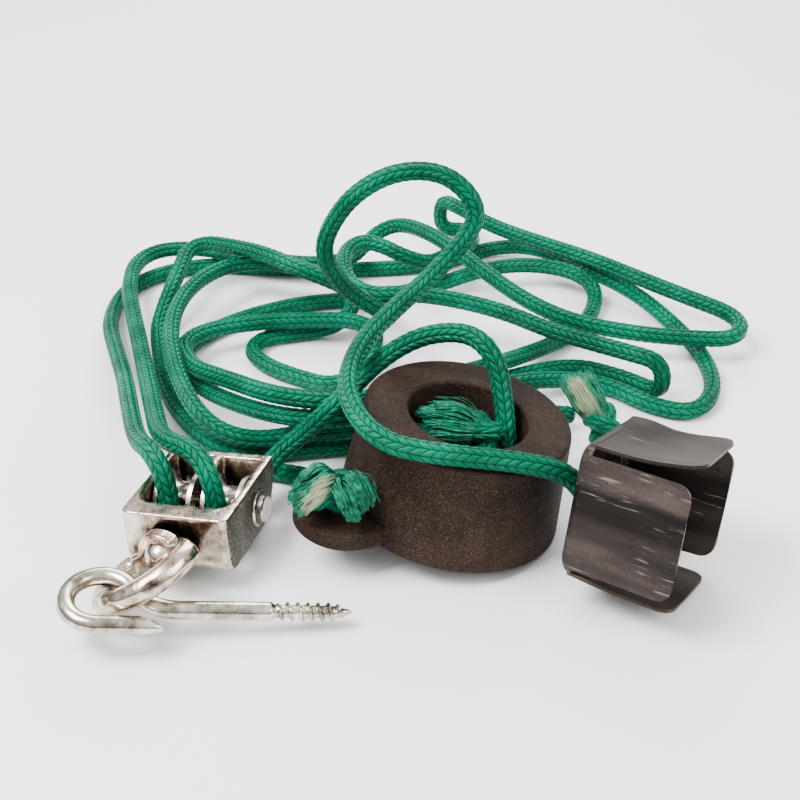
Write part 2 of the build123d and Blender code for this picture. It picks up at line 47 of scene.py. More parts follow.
# ---- camera ------------------------------------------------------------------------------
def make_camera():
    data = bpy.data.cameras.new("Camera")
    data.lens = 60.3
    data.sensor_width = 36.0
    data.clip_start = 0.01
    camera = bpy.data.objects.new("Camera", data)
    camera.location = (-0.0015, -0.3086, 0.2438)
    camera.rotation_euler = (math.radians(58.0), 0.0, 0.0)
    bpy.context.scene.collection.objects.link(camera)
    bpy.context.scene.camera = camera


make_camera()


# ---- small helpers -----------------------------------------------------------------------
def link(obj):
    bpy.context.scene.collection.objects.link(obj)
    return obj


def mesh_object(name, verts, faces, smooth=True):
    mesh = bpy.data.meshes.new(name)
    mesh.from_pydata(verts, [], faces)
    mesh.update()
    if smooth:
        mesh.polygons.foreach_set("use_smooth", [True] * len(mesh.polygons))
    return link(bpy.data.objects.new(name, mesh))


def crisp(obj, degrees=32.0):
    """Keep real corners sharp on a smooth-shaded mesh."""
    work = bmesh.new()
    work.from_mesh(obj.data)
    for edge in work.edges:
        edge.smooth = len(edge.link_faces) == 2 and edge.calc_face_angle(0.0) < math.radians(degrees)
    work.to_mesh(obj.data)
    work.free()


def placed_mesh(name, verts, faces, place, material):
    """A mesh made in a piece's own frame and put in place; its own coordinates stay as "local"."""
    obj = mesh_object(name, [place @ Vector(v) for v in verts], faces)
    local = obj.data.attributes.new("local", "FLOAT_VECTOR", "POINT")
    local.data.foreach_set("vector", [c for v in verts for c in v])
    crisp(obj)
    obj.data.materials.append(material)
    return obj


def turned(yaw, pitch, roll):
    """The same turn as part.py: yaw about Z, then pitch about Y, then roll about X."""
    return (
        Matrix.Rotation(math.radians(yaw), 4, "Z")
        @ Matrix.Rotation(math.radians(pitch), 4, "Y")
        @ Matrix.Rotation(math.radians(roll), 4, "X")
    )


PULLEY = Matrix.Translation((-0.0575, 0.0057, 0.0123)) @ turned(-14.9, -4.2, -3.8)
SWIVEL = PULLEY @ Matrix.Translation((0, -0.019, 0)) @ turned(-12.0, 0.0, 4.5)
HOOK = Matrix.Translation((-0.08035, -0.03715, 0.01211)) @ turned(5.87, 6.06, 4.57)
WEIGHT = Matrix.Translation((0.0129, 0.0150, 0.0057)) @ turned(0.0, 9.9, -0.7)
CLIP = Matrix.Translation((0.0520, -0.0061, 0.0248)) @ turned(-29.9, -0.1, -16.6)


# ---- node materials ----------------------------------------------------------------------
class Nodes:
    """A short way to build one Principled material."""

    def __init__(self, name, **settings):
        self.material = bpy.data.materials.new(name)
        self.material.use_nodes = True
        self.tree = self.material.node_tree
        self.shader = self.tree.nodes["Principled BSDF"]
        for key, value in settings.items():
            self.shader.inputs[key.replace("_", " ")].default_value = value

    def add(self, kind, **inputs):
        node = self.tree.nodes.new("ShaderNode" + kind)
        for key, value in inputs.items():
            if hasattr(node, key):
                setattr(node, key, value)
            else:
                self.feed(node.inputs[key.replace("_", " ")], value)
        return node

    def feed(self, socket, value):
        if isinstance(value, bpy.types.NodeSocket):
            self.tree.links.new(value, socket)
        else:
            socket.default_value = value

    def math(self, operation, a, b=0.0, c=0.0):
        node = self.tree.nodes.new("ShaderNodeMath")
        node.operation = operation
        for socket, value in zip(node.inputs, (a, b, c)):
            self.feed(socket, value)
        return node.outputs[0]

    def noise(self, vector, scale, detail=3.0, rough=0.5):
        node = self.add("TexNoise", Scale=scale, Detail=detail, Roughness=rough)
        self.feed(node.inputs["Vector"], vector)
        return node.outputs["Fac"]

    def ramp(self, value, *stops):
        node = self.tree.nodes.new("ShaderNodeValToRGB")
        self.feed(node.inputs[0], value)
        points = node.color_ramp.elements
        while len(points) < len(stops):
            points.new(0.5)
        for point, (place, colour) in zip(points, stops):
            point.position = place
            point.color = colour if len(colour) == 4 else (*colour, 1.0)
        return node.outputs[0]

    def blend(self, factor, a, b):
        node = self.tree.nodes.new("ShaderNodeMix")
        node.data_type = "RGBA"
        self.feed(node.inputs["Factor"], factor)
        self.feed(node.inputs[6], a)
        self.feed(node.inputs[7], b)
        return node.outputs[2]

    def place(self):
        return self.tree.nodes.new("ShaderNodeTexCoord").outputs["Object"]

    def bump(self, height, strength, distance, under=None):
        node = self.add("Bump", Strength=strength, Distance=distance)
        self.feed(node.inputs["Height"], height)
        if under is not None:
            self.feed(node.inputs["Normal"], under)
        return node.outputs[0]

    def set(self, key, value):
        self.feed(self.shader.inputs[key], value)


def grey(value):
    return (value, value, value, 1.0)


def cord_material():
    """Glossy braided fibre: plump leaning stitches, fibre streaks along each, and painted shade darkening
    the creases between.
    """
    m = Nodes("green_braid", Roughness=0.38, Specular_IOR_Level=0.06)
    uv = m.tree.nodes.new("ShaderNodeUVMap")
    uv.uv_map = "strand"
    parts = m.add("SeparateXYZ", Vector=uv.outputs[0])
    across = m.math("SUBTRACT", m.math("FRACT", parts.outputs[0]), 0.5)
    along = m.math("SUBTRACT", m.math("FRACT", parts.outputs[1]), 0.5)
    side_fall = m.math("POWER", m.math("ABSOLUTE", m.math("MULTIPLY", across, 2.0)), 2.6)
    end_fall = m.math("POWER", m.math("ABSOLUTE", m.math("MULTIPLY", along, 2.0)), 2.6)
    plump = m.math("SUBTRACT", 1.0, m.math("MAXIMUM", side_fall, end_fall))
    stretch = m.add("Mapping", Scale=(1.2, 16.0, 1.0), Vector=uv.outputs[0])
    streak = m.noise(stretch.outputs[0], 1.0, 2.0, 0.6)
    patch = m.noise(m.place(), 70.0, 2.0)
    tone = m.math("MULTIPLY_ADD", streak, 0.6, m.math("MULTIPLY", patch, 0.4))
    body = m.ramp(
        tone,
        (0.30, (0.0, 0.034, 0.016)),
        (0.52, (0.0, 0.118, 0.060)),
        (0.74, (0.0, 0.290, 0.165)),
    )
    # painted shade: the creases between stitches are blended to near black
    crease_shade_mask = m.ramp(plump, (0.0, grey(0.0)), (0.42, grey(1.0)))
    m.set("Base Color", m.blend(crease_shade_mask, (0.0, 0.006, 0.003, 1.0), body))
    m.set("Roughness", m.math("MULTIPLY_ADD", streak, 0.34, 0.08))
    m.set("Normal", m.bump(streak, 0.35, 0.00012, m.bump(plump, 0.8, 0.00045)))
    return m.material


def frayed_material():
    """Loose silky fibre, with a paler worn patch where the braid opens."""
    m = Nodes("frayed_fibre", Roughness=0.4, Specular_IOR_Level=0.25)
    shade = m.tree.nodes.new("ShaderNodeAttribute")
    shade.attribute_name = "pale"
    grain = m.noise(m.place(), 700.0, 2.0)
    green = m.ramp(
        grain,
        (0.3, (0.0, 0.062, 0.030)),
        (0.55, (0.0, 0.150, 0.077)),
        (0.78, (0.0, 0.30, 0.170)),
    )
    m.set("Base Color", m.blend(shade.outputs["Fac"], green, (0.34, 0.37, 0.22, 1.0)))
    m.set("Roughness", m.math("MULTIPLY_ADD", grain, 0.3, 0.22))
    return m.material


CHEEK_FACE = 0.0154              # how far the outside of a cheek lies from the middle of the pulley


def nickel_material():
    """Warm polished plate over a casting: soft ripples, faint stains, fine pits, rubbed round edges, painted
    shade in hollows.
    """
    m = Nodes("polished_nickel", Metallic=1.0)
    at = m.place()
    stain = m.noise(at, 210.0, 5.0, 0.66)
    pits = m.noise(at, 1500.0, 2.0, 0.6)
    ripple = m.noise(at, 85.0, 2.0, 0.5)
    open_air = m.add("AmbientOcclusion", Distance=0.009).outputs["AO"]
    plate = m.ramp(
        stain,
        (0.33, (0.11, 0.076, 0.057)),
        (0.43, (0.38, 0.300, 0.232)),
        (0.54, (0.64, 0.535, 0.435)),
        (0.72, (0.82, 0.72, 0.61)),
    )
    # painted shade: where ambient occlusion finds a hollow, the plate is blended to near black
    clear_of_painted_shade = m.ramp(open_air, (0.14, grey(0.0)), (0.62, grey(1.0)))
    m.set("Base Color", m.blend(clear_of_painted_shade, (0.045, 0.034, 0.028, 1.0), plate))
    m.set("Roughness", m.ramp(m.noise(at, 240.0, 3.0), (0.3, grey(0.12)), (0.8, grey(0.30))))
    m.set("Normal", m.bump(ripple, 0.5, 0.0016, m.bump(pits, 0.2, 0.00025)))
    return m.material


def rough_nickel_material():
    """The unpolished outside of a cheek: dark and granular, with bright grains."""
    m = Nodes("cast_nickel", Metallic=0.85)
    at = m.place()
    grains = m.noise(at, 1700.0, 3.0, 0.65)
    patch = m.noise(at, 150.0, 3.0, 0.6)
    tone = m.math("MULTIPLY_ADD", grains, 0.65, m.math("MULTIPLY", patch, 0.35))
    body = m.ramp(
        tone,
        (0.40, (0.020, 0.018, 0.013)),
        (0.54, (0.095, 0.084, 0.062)),
        (0.66, (0.42, 0.37, 0.31)),
    )
    m.set("Base Color", body)
    m.set("Roughness", m.ramp(grains, (0.3, grey(0.5)), (0.8, grey(0.3))))
    m.set("Normal", m.bump(grains, 0.6, 0.0003))
    return m.material


def zinc_material():
    """Satin plate on drawn wire: long fine draw lines and a slightly warm cast."""
    m = Nodes("satin_zinc", Metallic=1.0)
    at = m.place()
    stain = m.noise(at, 160.0, 4.0, 0.6)
    fine = m.noise(at, 2400.0, 2.0, 0.6)
    plate = m.ramp(
        stain,
        (0.34, (0.20, 0.172, 0.130)),
        (0.50, (0.50, 0.455, 0.375)),
        (0.66, (0.80, 0.76, 0.655)),
    )
    m.set("Base Color", plate)
    m.set("Roughness", m.ramp(fine, (0.3, grey(0.14)), (0.8, grey(0.30))))
    m.set("Normal", m.bump(fine, 0.16, 0.00018, m.bump(m.noise(at, 110.0, 2.0), 0.15, 0.0008)))
    return m.material


def bright_material():
    """Turned bright steel: sheaves and axle, with painted shade in their hollows."""
    m = Nodes("bright_steel", Metallic=1.0)
    at = m.place()
    fine = m.noise(at, 2000.0, 3.0, 0.6)
    open_air = m.add("AmbientOcclusion", Distance=0.005).outputs["AO"]
    metal = m.ramp(m.noise(at, 200.0, 3.0), (0.3, (0.40, 0.345, 0.295)), (0.7, (0.66, 0.60, 0.54)))
    # painted shade: where ambient occlusion finds a hollow, the steel is blended to near black
    clear_of_painted_shade = m.ramp(open_air, (0.25, grey(0.0)), (0.65, grey(1.0)))
    m.set("Base Color", m.blend(clear_of_painted_shade, (0.05, 0.04, 0.034, 1.0), metal))
    m.set("Roughness", m.ramp(fine, (0.3, grey(0.18)), (0.8, grey(0.36))))
    m.set("Normal", m.bump(fine, 0.18, 0.0002))
    return m.material


def iron_material():
    """Dark brown sand casting: a fine gritty skin with tiny pale specks."""
    m = Nodes("sand_cast_iron", Specular_IOR_Level=0.06)
    at = m.place()
    grit = m.noise(at, 3600.0, 4.0, 0.7)
    lumps = m.noise(at, 420.0, 3.0, 0.55)
    patch = m.noise(at, 45.0, 3.0, 0.6)
    speck = m.ramp(m.noise(at, 6200.0, 1.0, 0.4), (0.665, grey(0.0)), (0.73, grey(1.0)))
    tone = m.math("MULTIPLY_ADD", grit, 0.7, m.math("MULTIPLY", patch, 0.3))
    body = m.ramp(
        tone,
        (0.36, (0.003, 0.0015, 0.0010)),
        (0.50, (0.015, 0.0083, 0.0056)),
        (0.66, (0.066, 0.040, 0.029)),
    )
    m.set("Base Color", m.blend(m.math("MULTIPLY", speck, 0.55), body, (0.40, 0.32, 0.25, 1.0)))
    m.set("Roughness", m.ramp(grit, (0.3, grey(0.66)), (0.75, grey(0.44))))
    m.set("Normal", m.bump(grit, 0.8, 0.00028, m.bump(lumps, 0.4, 0.0009)))
    return m.material


def black_steel_material():
    """Dark spring steel with a brown cast, long scratches, rubbed patches and a painted dark reflection
    band.
    """
    m = Nodes("dark_spring_steel", Specular_IOR_Level=0.09)
    local = m.tree.nodes.new("ShaderNodeAttribute")
    local.attribute_name = "local"
    at = local.outputs["Vector"]
    long_way = m.add("Mapping", Scale=(45.0, 1100.0, 1100.0), Vector=at)
    scratch = m.ramp(m.noise(long_way.outputs[0], 1.0, 2.0, 0.55), (0.60, grey(0.0)), (0.70, grey(1.0)))
    where = m.ramp(m.noise(at, 75.0, 2.0), (0.46, grey(0.0)), (0.60, grey(1.0)))
    fine = m.noise(at, 2300.0, 2.0, 0.6)
    soft = m.add("Mapping", Scale=(18.0, 60.0, 90.0), Vector=at)
    cloud = m.noise(soft.outputs[0], 1.0, 3.0, 0.55)
    tone = m.math("MULTIPLY_ADD", cloud, 0.75, m.math("MULTIPLY", fine, 0.25))
    body = m.ramp(
        tone,
        (0.36, (0.012, 0.0092, 0.0080)),
        (0.5, (0.029, 0.0220, 0.0190)),
        (0.64, (0.062, 0.048, 0.043)),
    )
    # painted reflection: a dark band at one height in the clip's own frame, lighter above and below, darkens
    # the body colour
    high = m.add("SeparateXYZ", Vector=at).outputs[2]
    painted_reflection_band = m.math("ABSOLUTE", m.math("MULTIPLY_ADD", high, 125.0, m.math("MULTIPLY_ADD", tone, 1.6, -1.35)))
    painted_reflection_tone = m.ramp(painted_reflection_band, (0.45, grey(0.22)), (0.95, grey(1.0)))
    body_with_painted_reflection = m.add("VectorMath", operation="MULTIPLY")
    m.feed(body_with_painted_reflection.inputs[0], body)
    m.feed(body_with_painted_reflection.inputs[1], painted_reflection_tone)
    marks = m.math("MULTIPLY", m.math("MULTIPLY", scratch, where), 0.7)
    m.set("Base Color", m.blend(marks, body_with_painted_reflection.outputs[0], (0.24, 0.20, 0.18, 1.0)))
    m.set("Roughness", m.math("MULTIPLY_ADD", fine, 0.18, 0.27))
    m.set("Normal", m.bump(fine, 0.12, 0.0001, m.bump(scratch, 0.2, 0.00012)))
    return m.material


BRAID = cord_material()
FRAYED = frayed_material()
NICKEL = nickel_material()
CAST_NICKEL = rough_nickel_material()
ZINC = zinc_material()
BRIGHT = bright_material()
IRON = iron_material()
BLACK = black_steel_material()


# ---- cords -------------------------------------------------------------------------------
STITCH = 0.0029                  # length of one stitch of the braid along the cord
COLUMNS = 8                      # columns of stitches round the cord
ACROSS = 5                       # faces across one column
LEAN = 0.85                      # how far a stitch leans over its column, in stitches


def nurbs_line(name, points):
    """One open smooth spline through the route, and the points that Blender draws for it."""
    curve = bpy.data.curves.new(name, "CURVE")
    curve.dimensions = "3D"
    curve.resolution_u = 10
    spline = curve.splines.new("NURBS")
    spline.points.add(len(points) - 1)
    for point, place in zip(spline.points, points):
        point.co = (*place, 1.0)
    spline.order_u = 3
    spline.use_endpoint_u = True
    drawn = bpy.data.objects.new(name, curve)
    mesh = bpy.data.meshes.new_from_object(drawn)
    line = [vertex.co.copy() for vertex in mesh.vertices]
    bpy.data.objects.remove(drawn)
    return line


def even_steps(line, step):
    """The same line, with its points a fixed step apart."""
    out = [line[0].copy()]
    left = step
    for a, b in zip(line, line[1:]):
        gap = (b - a).length
        while gap > 1e-9 and left <= gap:
            a = a + (b - a) * (left / gap)
            out.append(a.copy())
            gap = (b - a).length
            left = step
        left -= gap
    return out


def frames_along(line):
    """A side and an up direction at each point that turn as little as they can."""
    tangents = []
    for i in range(len(line)):
        a = line[max(i - 1, 0)]
        b = line[min(i + 1, len(line) - 1)]
        tangents.append((b - a).normalized())
    side = tangents[0].orthogonal().normalized()
    out = []
    for tangent in tangents:
        side = (side - tangent * side.dot(tangent)).normalized()
        out.append((side.copy(), tangent.cross(side)))
    return out


def stitch_phase(column, across, along):
    """Where a place lies in the chain of stitches of its column: neighbours lean opposite ways."""
    lean = LEAN if column % 2 == 0 else -LEAN
    return along + lean * across + 0.5 * (column // 2 % 2)


def stitch_height(across, phase):
    """Height of one plump stitch, 0 to 1: across is -0.5..0.5 over its column."""
    wide = math.sqrt(max(0.0, 1.0 - (1.84 * across) ** 2))
    long = math.sqrt(max(0.0, 1.0 - 0.94 * (2.0 * (phase % 1.0) - 1.0) ** 2))
    return (wide * long) ** 0.8


def braid(name, line, radius=ROPE, step=0.00075):
    """A braided tube along a line: columns of leaning stitches that meet in V shapes."""
    path = even_steps(line, step)
    sides = frames_along(path)
    count = COLUMNS * ACROSS
    verts = []
    for i, (centre, (side, up)) in enumerate(zip(path, sides)):
        along = i * step / STITCH
        end = min(i, len(path) - 1 - i) * step
        shrink = 1.0 if end > radius else 0.55 + 0.45 * math.sqrt(max(0.0, 1 - (1 - end / radius) ** 2))
        for j in range(count):
            column, within = divmod(j, ACROSS)
            across = within / ACROSS - 0.5
            height = stitch_height(across, stitch_phase(column, across, along))
            turn = 2 * math.pi * j / count
            reach = radius * (0.83 + 0.18 * height) * shrink
            verts.append(centre + (side * math.cos(turn) + up * math.sin(turn)) * reach)
    faces = []
    coords = []
    for i in range(len(path) - 1):
        low, high = i * count, (i + 1) * count
        for j in range(count):
            k = (j + 1) % count
            faces.append((low + j, low + k, high + k, high + j))
            column, within = divmod(j, ACROSS)
            left = within / ACROSS - 0.5
            right = left + 1 / ACROSS
            for across, row in ((left, i), (right, i), (right, i + 1), (left, i + 1)):
                inside = min(across, 0.499)
                coords += [column + 0.5 + inside, stitch_phase(column, across, row * step / STITCH)]
    faces.append(tuple(range(count - 1, -1, -1)))
    faces.append(tuple(range((len(path) - 1) * count, len(path) * count)))
    coords += [0.5, 0.0] * (2 * count)
    obj = mesh_object(name, verts, faces)
    layer = obj.data.uv_layers.new(name="strand")
    layer.data.foreach_set("uv", coords)
    obj.data.materials.append(BRAID)
    return obj, path


ROUTE_A = [
    (0.03, 0.016, 0.024), (0.0285, 0.024, 0.041), (0.025, 0.029, 0.05), (0.0185, 0.036, 0.052),
    (0.0075, 0.039, 0.05), (-0.002, 0.0395, 0.045), (-0.0105, 0.037, 0.039), (-0.0175, 0.0325, 0.033),
    (-0.0255, 0.0305, 0.0255), (-0.032, 0.0335, 0.017), (-0.0425, 0.0265, 0.0114), (-0.052, -0.0055, 0.0008),
    (-0.0535, -0.0035, 0.0253), (-0.059, 0.004, 0.032), (-0.071, 0.015, 0.028), (-0.0775, 0.0405, 0.022),
    (-0.0845, 0.068, 0.017), (-0.0915, 0.095, 0.014), (-0.099, 0.123, 0.012), (-0.1045, 0.145, 0.0105),
    (-0.106, 0.1665, 0.01), (-0.099, 0.1795, 0.0098), (-0.085, 0.1815, 0.0098), (-0.0685, 0.176, 0.0098),
    (-0.047, 0.1685, 0.0098), (-0.031, 0.1645, 0.011), (-0.0205, 0.1695, 0.011), (-0.015, 0.1785, 0.013),
    (-0.0095, 0.185, 0.016), (-0.0005, 0.185, 0.019), (0.011, 0.1685, 0.022), (0.022, 0.1525, 0.021),
    (0.0335, 0.1365, 0.0185), (0.0455, 0.1225, 0.016), (0.061, 0.111, 0.014), (0.084, 0.108, 0.011),
    (0.105, 0.1065, 0.01), (0.117, 0.1065, 0.01), (0.1225, 0.1165, 0.01), (0.119, 0.1265, 0.01),
    (0.1085, 0.134, 0.011), (0.0915, 0.146, 0.013), (0.072, 0.1615, 0.015), (0.052, 0.1745, 0.016),
    (0.035, 0.1885, 0.0165), (0.0235, 0.2045, 0.017), (0.0155, 0.2135, 0.0172), (0.0155, 0.2135, 0.0032),
    (0.028, 0.2115, 0.0042), (0.0285, 0.182, 0.012), (0.0205, 0.1705, 0.014), (0.01, 0.154, 0.016),
    (-0.0005, 0.153, 0.02), (-0.0085, 0.1585, 0.022), (-0.017, 0.16, 0.023), (-0.0225, 0.15, 0.023),
    (-0.0225, 0.134, 0.0235), (-0.019, 0.124, 0.0225), (-0.0115, 0.116, 0.0225), (-0.0015, 0.1185, 0.022),
    (0.014, 0.1195, 0.02), (0.0345, 0.115, 0.017), (0.0515, 0.1025, 0.0155), (0.0645, 0.0935, 0.016),
    (0.076, 0.086, 0.0163), (0.0865, 0.079, 0.0165), (0.088, 0.08, 0.0032), (0.076, 0.0915, 0.0032),
    (0.0585, 0.1005, 0.0032), (0.033, 0.0895, 0.0032), (0.0085, 0.0735, 0.0042), (-0.0125, 0.0475, 0.011),
    (-0.0275, 0.048, 0.0098), (-0.046, 0.041, 0.0098), (-0.06, 0.0445, 0.012), (-0.0695, 0.0555, 0.0164),
    (-0.0785, 0.082, 0.0164), (-0.083, 0.11, 0.0164), (-0.0795, 0.1365, 0.016), (-0.0675, 0.156, 0.0152),
    (-0.0475, 0.1555, 0.0162), (-0.0305, 0.151, 0.013), (-0.02, 0.146, 0.009), (-0.0095, 0.1345, 0.009),
    (-0.0045, 0.12, 0.013), (-0.005, 0.1015, 0.022), (-0.0105, 0.093, 0.03), (-0.017, 0.0935, 0.034),
    (-0.0225, 0.0895, 0.042), (-0.027, 0.0855, 0.054), (-0.0235, 0.087, 0.064), (-0.0155, 0.0855, 0.075),
    (-0.003, 0.081, 0.084), (0.011, 0.081, 0.084), (0.02, 0.0785, 0.078), (0.023, 0.077, 0.07),
    (0.0175, 0.0735, 0.062), (0.0075, 0.067, 0.054), (-0.0035, 0.0535, 0.05), (-0.013, 0.0375, 0.048),
    (-0.017, 0.018, 0.047), (-0.0145, 0.0015, 0.046), (-0.006, -0.012, 0.045), (0.0065, -0.0135, 0.0427),
    (0.025, -0.0115, 0.0392), (0.034, -0.0112, 0.0375), (0.0410, -0.0102, 0.0350), (0.0458, -0.0085, 0.0308),
    (0.0490, -0.0072, 0.0256), (0.0537, -0.0085, 0.0226), (0.0585, -0.0105, 0.0229),
]
ROUTE_B = [
    (-0.017, -0.003, 0.0203), (-0.0195, -0.003, 0.0075), (-0.0115, 0.0035, 0.0034),
    (-0.0135, 0.0195, 0.0034), (-0.0265, 0.0305, 0.0032), (-0.0415, 0.0345, 0.0032),
    (-0.055, 0.0385, 0.0038), (-0.0665, -0.0015, 0.0031), (-0.0675, 0.0005, 0.0243), (-0.0725, 0.007, 0.03),
    (-0.0785, 0.0175, 0.026), (-0.0855, 0.0435, 0.02), (-0.093, 0.073, 0.014), (-0.1015, 0.1005, 0.009),
    (-0.1085, 0.124, 0.006), (-0.11, 0.1485, 0.0034), (-0.1055, 0.1625, 0.0032), (-0.0955, 0.173, 0.0032),
    (-0.0785, 0.18, 0.0032), (-0.056, 0.1765, 0.0032), (-0.0295, 0.175, 0.0032), (-0.0035, 0.1765, 0.0032),
    (0.018, 0.182, 0.0032), (0.036, 0.196, 0.0032), (0.0535, 0.191, 0.006), (0.0695, 0.1685, 0.008),
    (0.088, 0.152, 0.006), (0.101, 0.129, 0.0032), (0.1075, 0.1045, 0.0032), (0.1065, 0.0815, 0.0032),
    (0.0965, 0.0675, 0.0032), (0.0825, 0.073, 0.0032), (0.0695, 0.087, 0.0032), (0.0535, 0.086, 0.006),
    (0.032, 0.076, 0.0098), (0.012, 0.0695, 0.0086), (-0.0105, 0.047, 0.017), (-0.026, 0.0395, 0.019),
    (-0.0415, 0.0455, 0.017), (-0.059, 0.064, 0.011), (-0.071, 0.0815, 0.0065), (-0.08, 0.103, 0.0032),
    (-0.076, 0.119, 0.0032), (-0.0615, 0.1345, 0.0032), (-0.04, 0.1465, 0.0032), (-0.015, 0.1505, 0.0032),
    (0.01, 0.159, 0.0032), (0.0295, 0.1615, 0.0098), (0.0455, 0.167, 0.0098), (0.063, 0.163, 0.0098),
    (0.0725, 0.155, 0.008), (0.074, 0.1475, 0.0032), (0.067, 0.1285, 0.0032), (0.0535, 0.114, 0.0032),
    (0.0375, 0.095, 0.0084), (0.0255, 0.0785, 0.0145), (0.008, 0.0595, 0.0205), (-0.01, 0.043, 0.024),
    (-0.0265, 0.0405, 0.0253), (-0.042, 0.0465, 0.024), (-0.0585, 0.066, 0.018), (-0.0715, 0.0795, 0.014),
    (-0.079, 0.103, 0.0096), (-0.0715, 0.1135, 0.0098), (-0.0525, 0.1195, 0.0098), (-0.0345, 0.121, 0.0098),
    (-0.019, 0.121, 0.0098), (-0.01, 0.1135, 0.0098), (-0.0105, 0.0975, 0.0098), (-0.0165, 0.0875, 0.006),
    (-0.0255, 0.0855, 0.0032), (-0.0365, 0.091, 0.0032), (-0.048, 0.0985, 0.0032), (-0.0555, 0.109, 0.0032),
    (-0.052, 0.119, 0.0032), (-0.042, 0.122, 0.0032), (-0.0305, 0.125, 0.0032), (-0.023, 0.126, 0.006),
    (-0.0185, 0.1305, 0.0105), (-0.02, 0.1355, 0.0145), (-0.0275, 0.1355, 0.0185), (-0.0385, 0.1355, 0.0235),
    (-0.0535, 0.148, 0.024), (-0.066, 0.1595, 0.021), (-0.0765, 0.1685, 0.0185), (-0.084, 0.1645, 0.0175),
    (-0.085, 0.1495, 0.0165), (-0.087, 0.139, 0.0135), (-0.089, 0.1305, 0.0095), (-0.0905, 0.122, 0.005),
    (-0.087, 0.1045, 0.0034), (-0.0815, 0.0815, 0.0032), (-0.0715, 0.0615, 0.0032), (-0.0585, 0.046, 0.0032),
    (-0.043, 0.0445, 0.0032), (-0.0305, 0.047, 0.0032), (-0.019, 0.0485, 0.0032), (-0.0045, 0.052, 0.0032),
    (0.015, 0.064, 0.0032), (0.042, 0.069, 0.0032), (0.056, 0.0625, 0.006),]


# ---- knots and frayed ends -----------------------------------------------------------------
def knot_line(axis, centre, size=1.0):
    """An overhand stopper knot about an axis: the cord's own turns, as a smooth closed-up line."""
    points = []
    for k in range(25):
        t = 0.35 + (2 * math.pi - 0.7) * k / 24
        x = math.sin(t) + 2 * math.sin(2 * t)
        y = math.cos(t) - 2 * math.cos(2 * t)
        z = -math.sin(3 * t)
        points.append(Vector((z * 2.9, x * 1.75, y * 1.75)) * MM * size)
    return [centre + axis @ point for point in points]


def axis_matrix(direction):
    """A turn that takes local x to the direction."""
    return Vector(direction).to_track_quat("X", "Z").to_matrix()


def tuft(name, root, direction, length, spread, pale, count=420, seed=1, droop=0.0, rest=0.0):
    """A frayed cord end: a compact silky brush in a few locks, with some strays.

    pale is (how worn, the angle round the brush of the worn side). The brush droops at its end and
    lies on anything that is rest high."""
    rng = random.Random(seed)
    axis = axis_matrix(direction)
    verts, faces, pales = [], [], []
    sides, steps = 4, 8
    locks = [(rng.uniform(0, 2 * math.pi), rng.uniform(0.2, 0.85), rng.uniform(0.9, 1.06)) for _ in range(9)]
    for n in range(count):
        ring = math.sqrt((n + 0.5) / count)
        angle = n * GOLDEN_ANGLE
        stray = rng.random() < 0.05
        across, upward = ring * math.cos(angle), ring * math.sin(angle)
        home = min(
            locks,
            key=lambda k: abs(across - k[1] * math.cos(k[0])) + abs(upward - k[1] * math.sin(k[0])),
        )
        reach = length * rng.uniform(0.86, 1.0) * home[2] * (1.0 - 0.16 * ring * ring)
        reach *= 1.06 if stray else 1.0
        start_y, start_z = ROPE * 0.9 * ring * math.cos(angle), ROPE * 0.9 * ring * math.sin(angle)
        pull = 0.42
        end_y = spread * ((1 - pull) * ring * math.cos(angle) + pull * home[1] * math.cos(home[0]))
        end_z = spread * ((1 - pull) * ring * math.sin(angle) + pull * home[1] * math.sin(home[0]))
        if stray:
            end_y, end_z = end_y * 1.25, end_z * 1.25
        thick = (0.30 if not stray else 0.12) * MM
        wave = rng.uniform(-0.0006, 0.0006)
        line = []
        for k in range(steps + 1):
            f = k / steps
            out = math.sin(min(1.0, f * 1.5) * math.pi / 2)
            place = Vector((
                reach * f,
                start_y + (end_y - start_y) * out + wave * math.sin(4 * f),
                start_z + (end_z - start_z) * out + wave * math.cos(5 * f),
            ))
            place = root + axis @ place
            place.z = max(place.z - droop * f ** 2.2, rest + thick)
            line.append(place)
        worn_side = ring * math.cos(angle - pale[1]) - 0.60 + rng.uniform(-0.12, 0.12)
        worn = max(0.0, min(1.0, worn_side * 4.0)) * pale[0]
        for k, place in enumerate(line):
            ahead = (line[min(k + 1, steps)] - line[max(k - 1, 0)]).normalized()
            side = ahead.orthogonal().normalized()
            up = ahead.cross(side)
            width = thick * (1.0 - 0.5 * (k / steps) ** 4)
            for s in range(sides):
                turn = 2 * math.pi * s / sides
                verts.append(place + (side * math.cos(turn) + up * math.sin(turn)) * width)
                pales.append(worn * min(1.0, 0.15 + 1.4 * k / steps))
        base = len(verts) - (steps + 1) * sides
        for k in range(steps):
            for s in range(sides):
                a = base + k * sides + s
                b = base + k * sides + (s + 1) % sides
                faces.append((a, b, b + sides, a + sides))
        faces.append(tuple(base + steps * sides + s for s in range(sides)))
    obj = mesh_object(name, verts, faces)
    values = obj.data.attributes.new("pale", "FLOAT", "POINT")
    values.data.foreach_set("value", pales)
    obj.data.materials.append(FRAYED)
    return obj


line_a = nurbs_line("cord_a_line", ROUTE_A)
line_b = nurbs_line("cord_b_line", ROUTE_B)
cord_a, path_a = braid("braided_cord_a", line_a)
cord_b, path_b = braid("braided_cord_b", line_b)

WELL = WEIGHT @ Vector((5.4 * MM, 2.0 * MM, 23.6 * MM))
LUG = WEIGHT @ Vector((-36.8 * MM, -20.4 * MM, 12.8 * MM))
BACK = Vector((63.5, 52.0, 9.0)) * MM
CLIPKNOT = CLIP @ Vector((14.6 * MM, 0.0, -2.0 * MM))
IN_WEIGHT = WEIGHT.to_3x3()
IN_CLIP = CLIP.to_3x3()

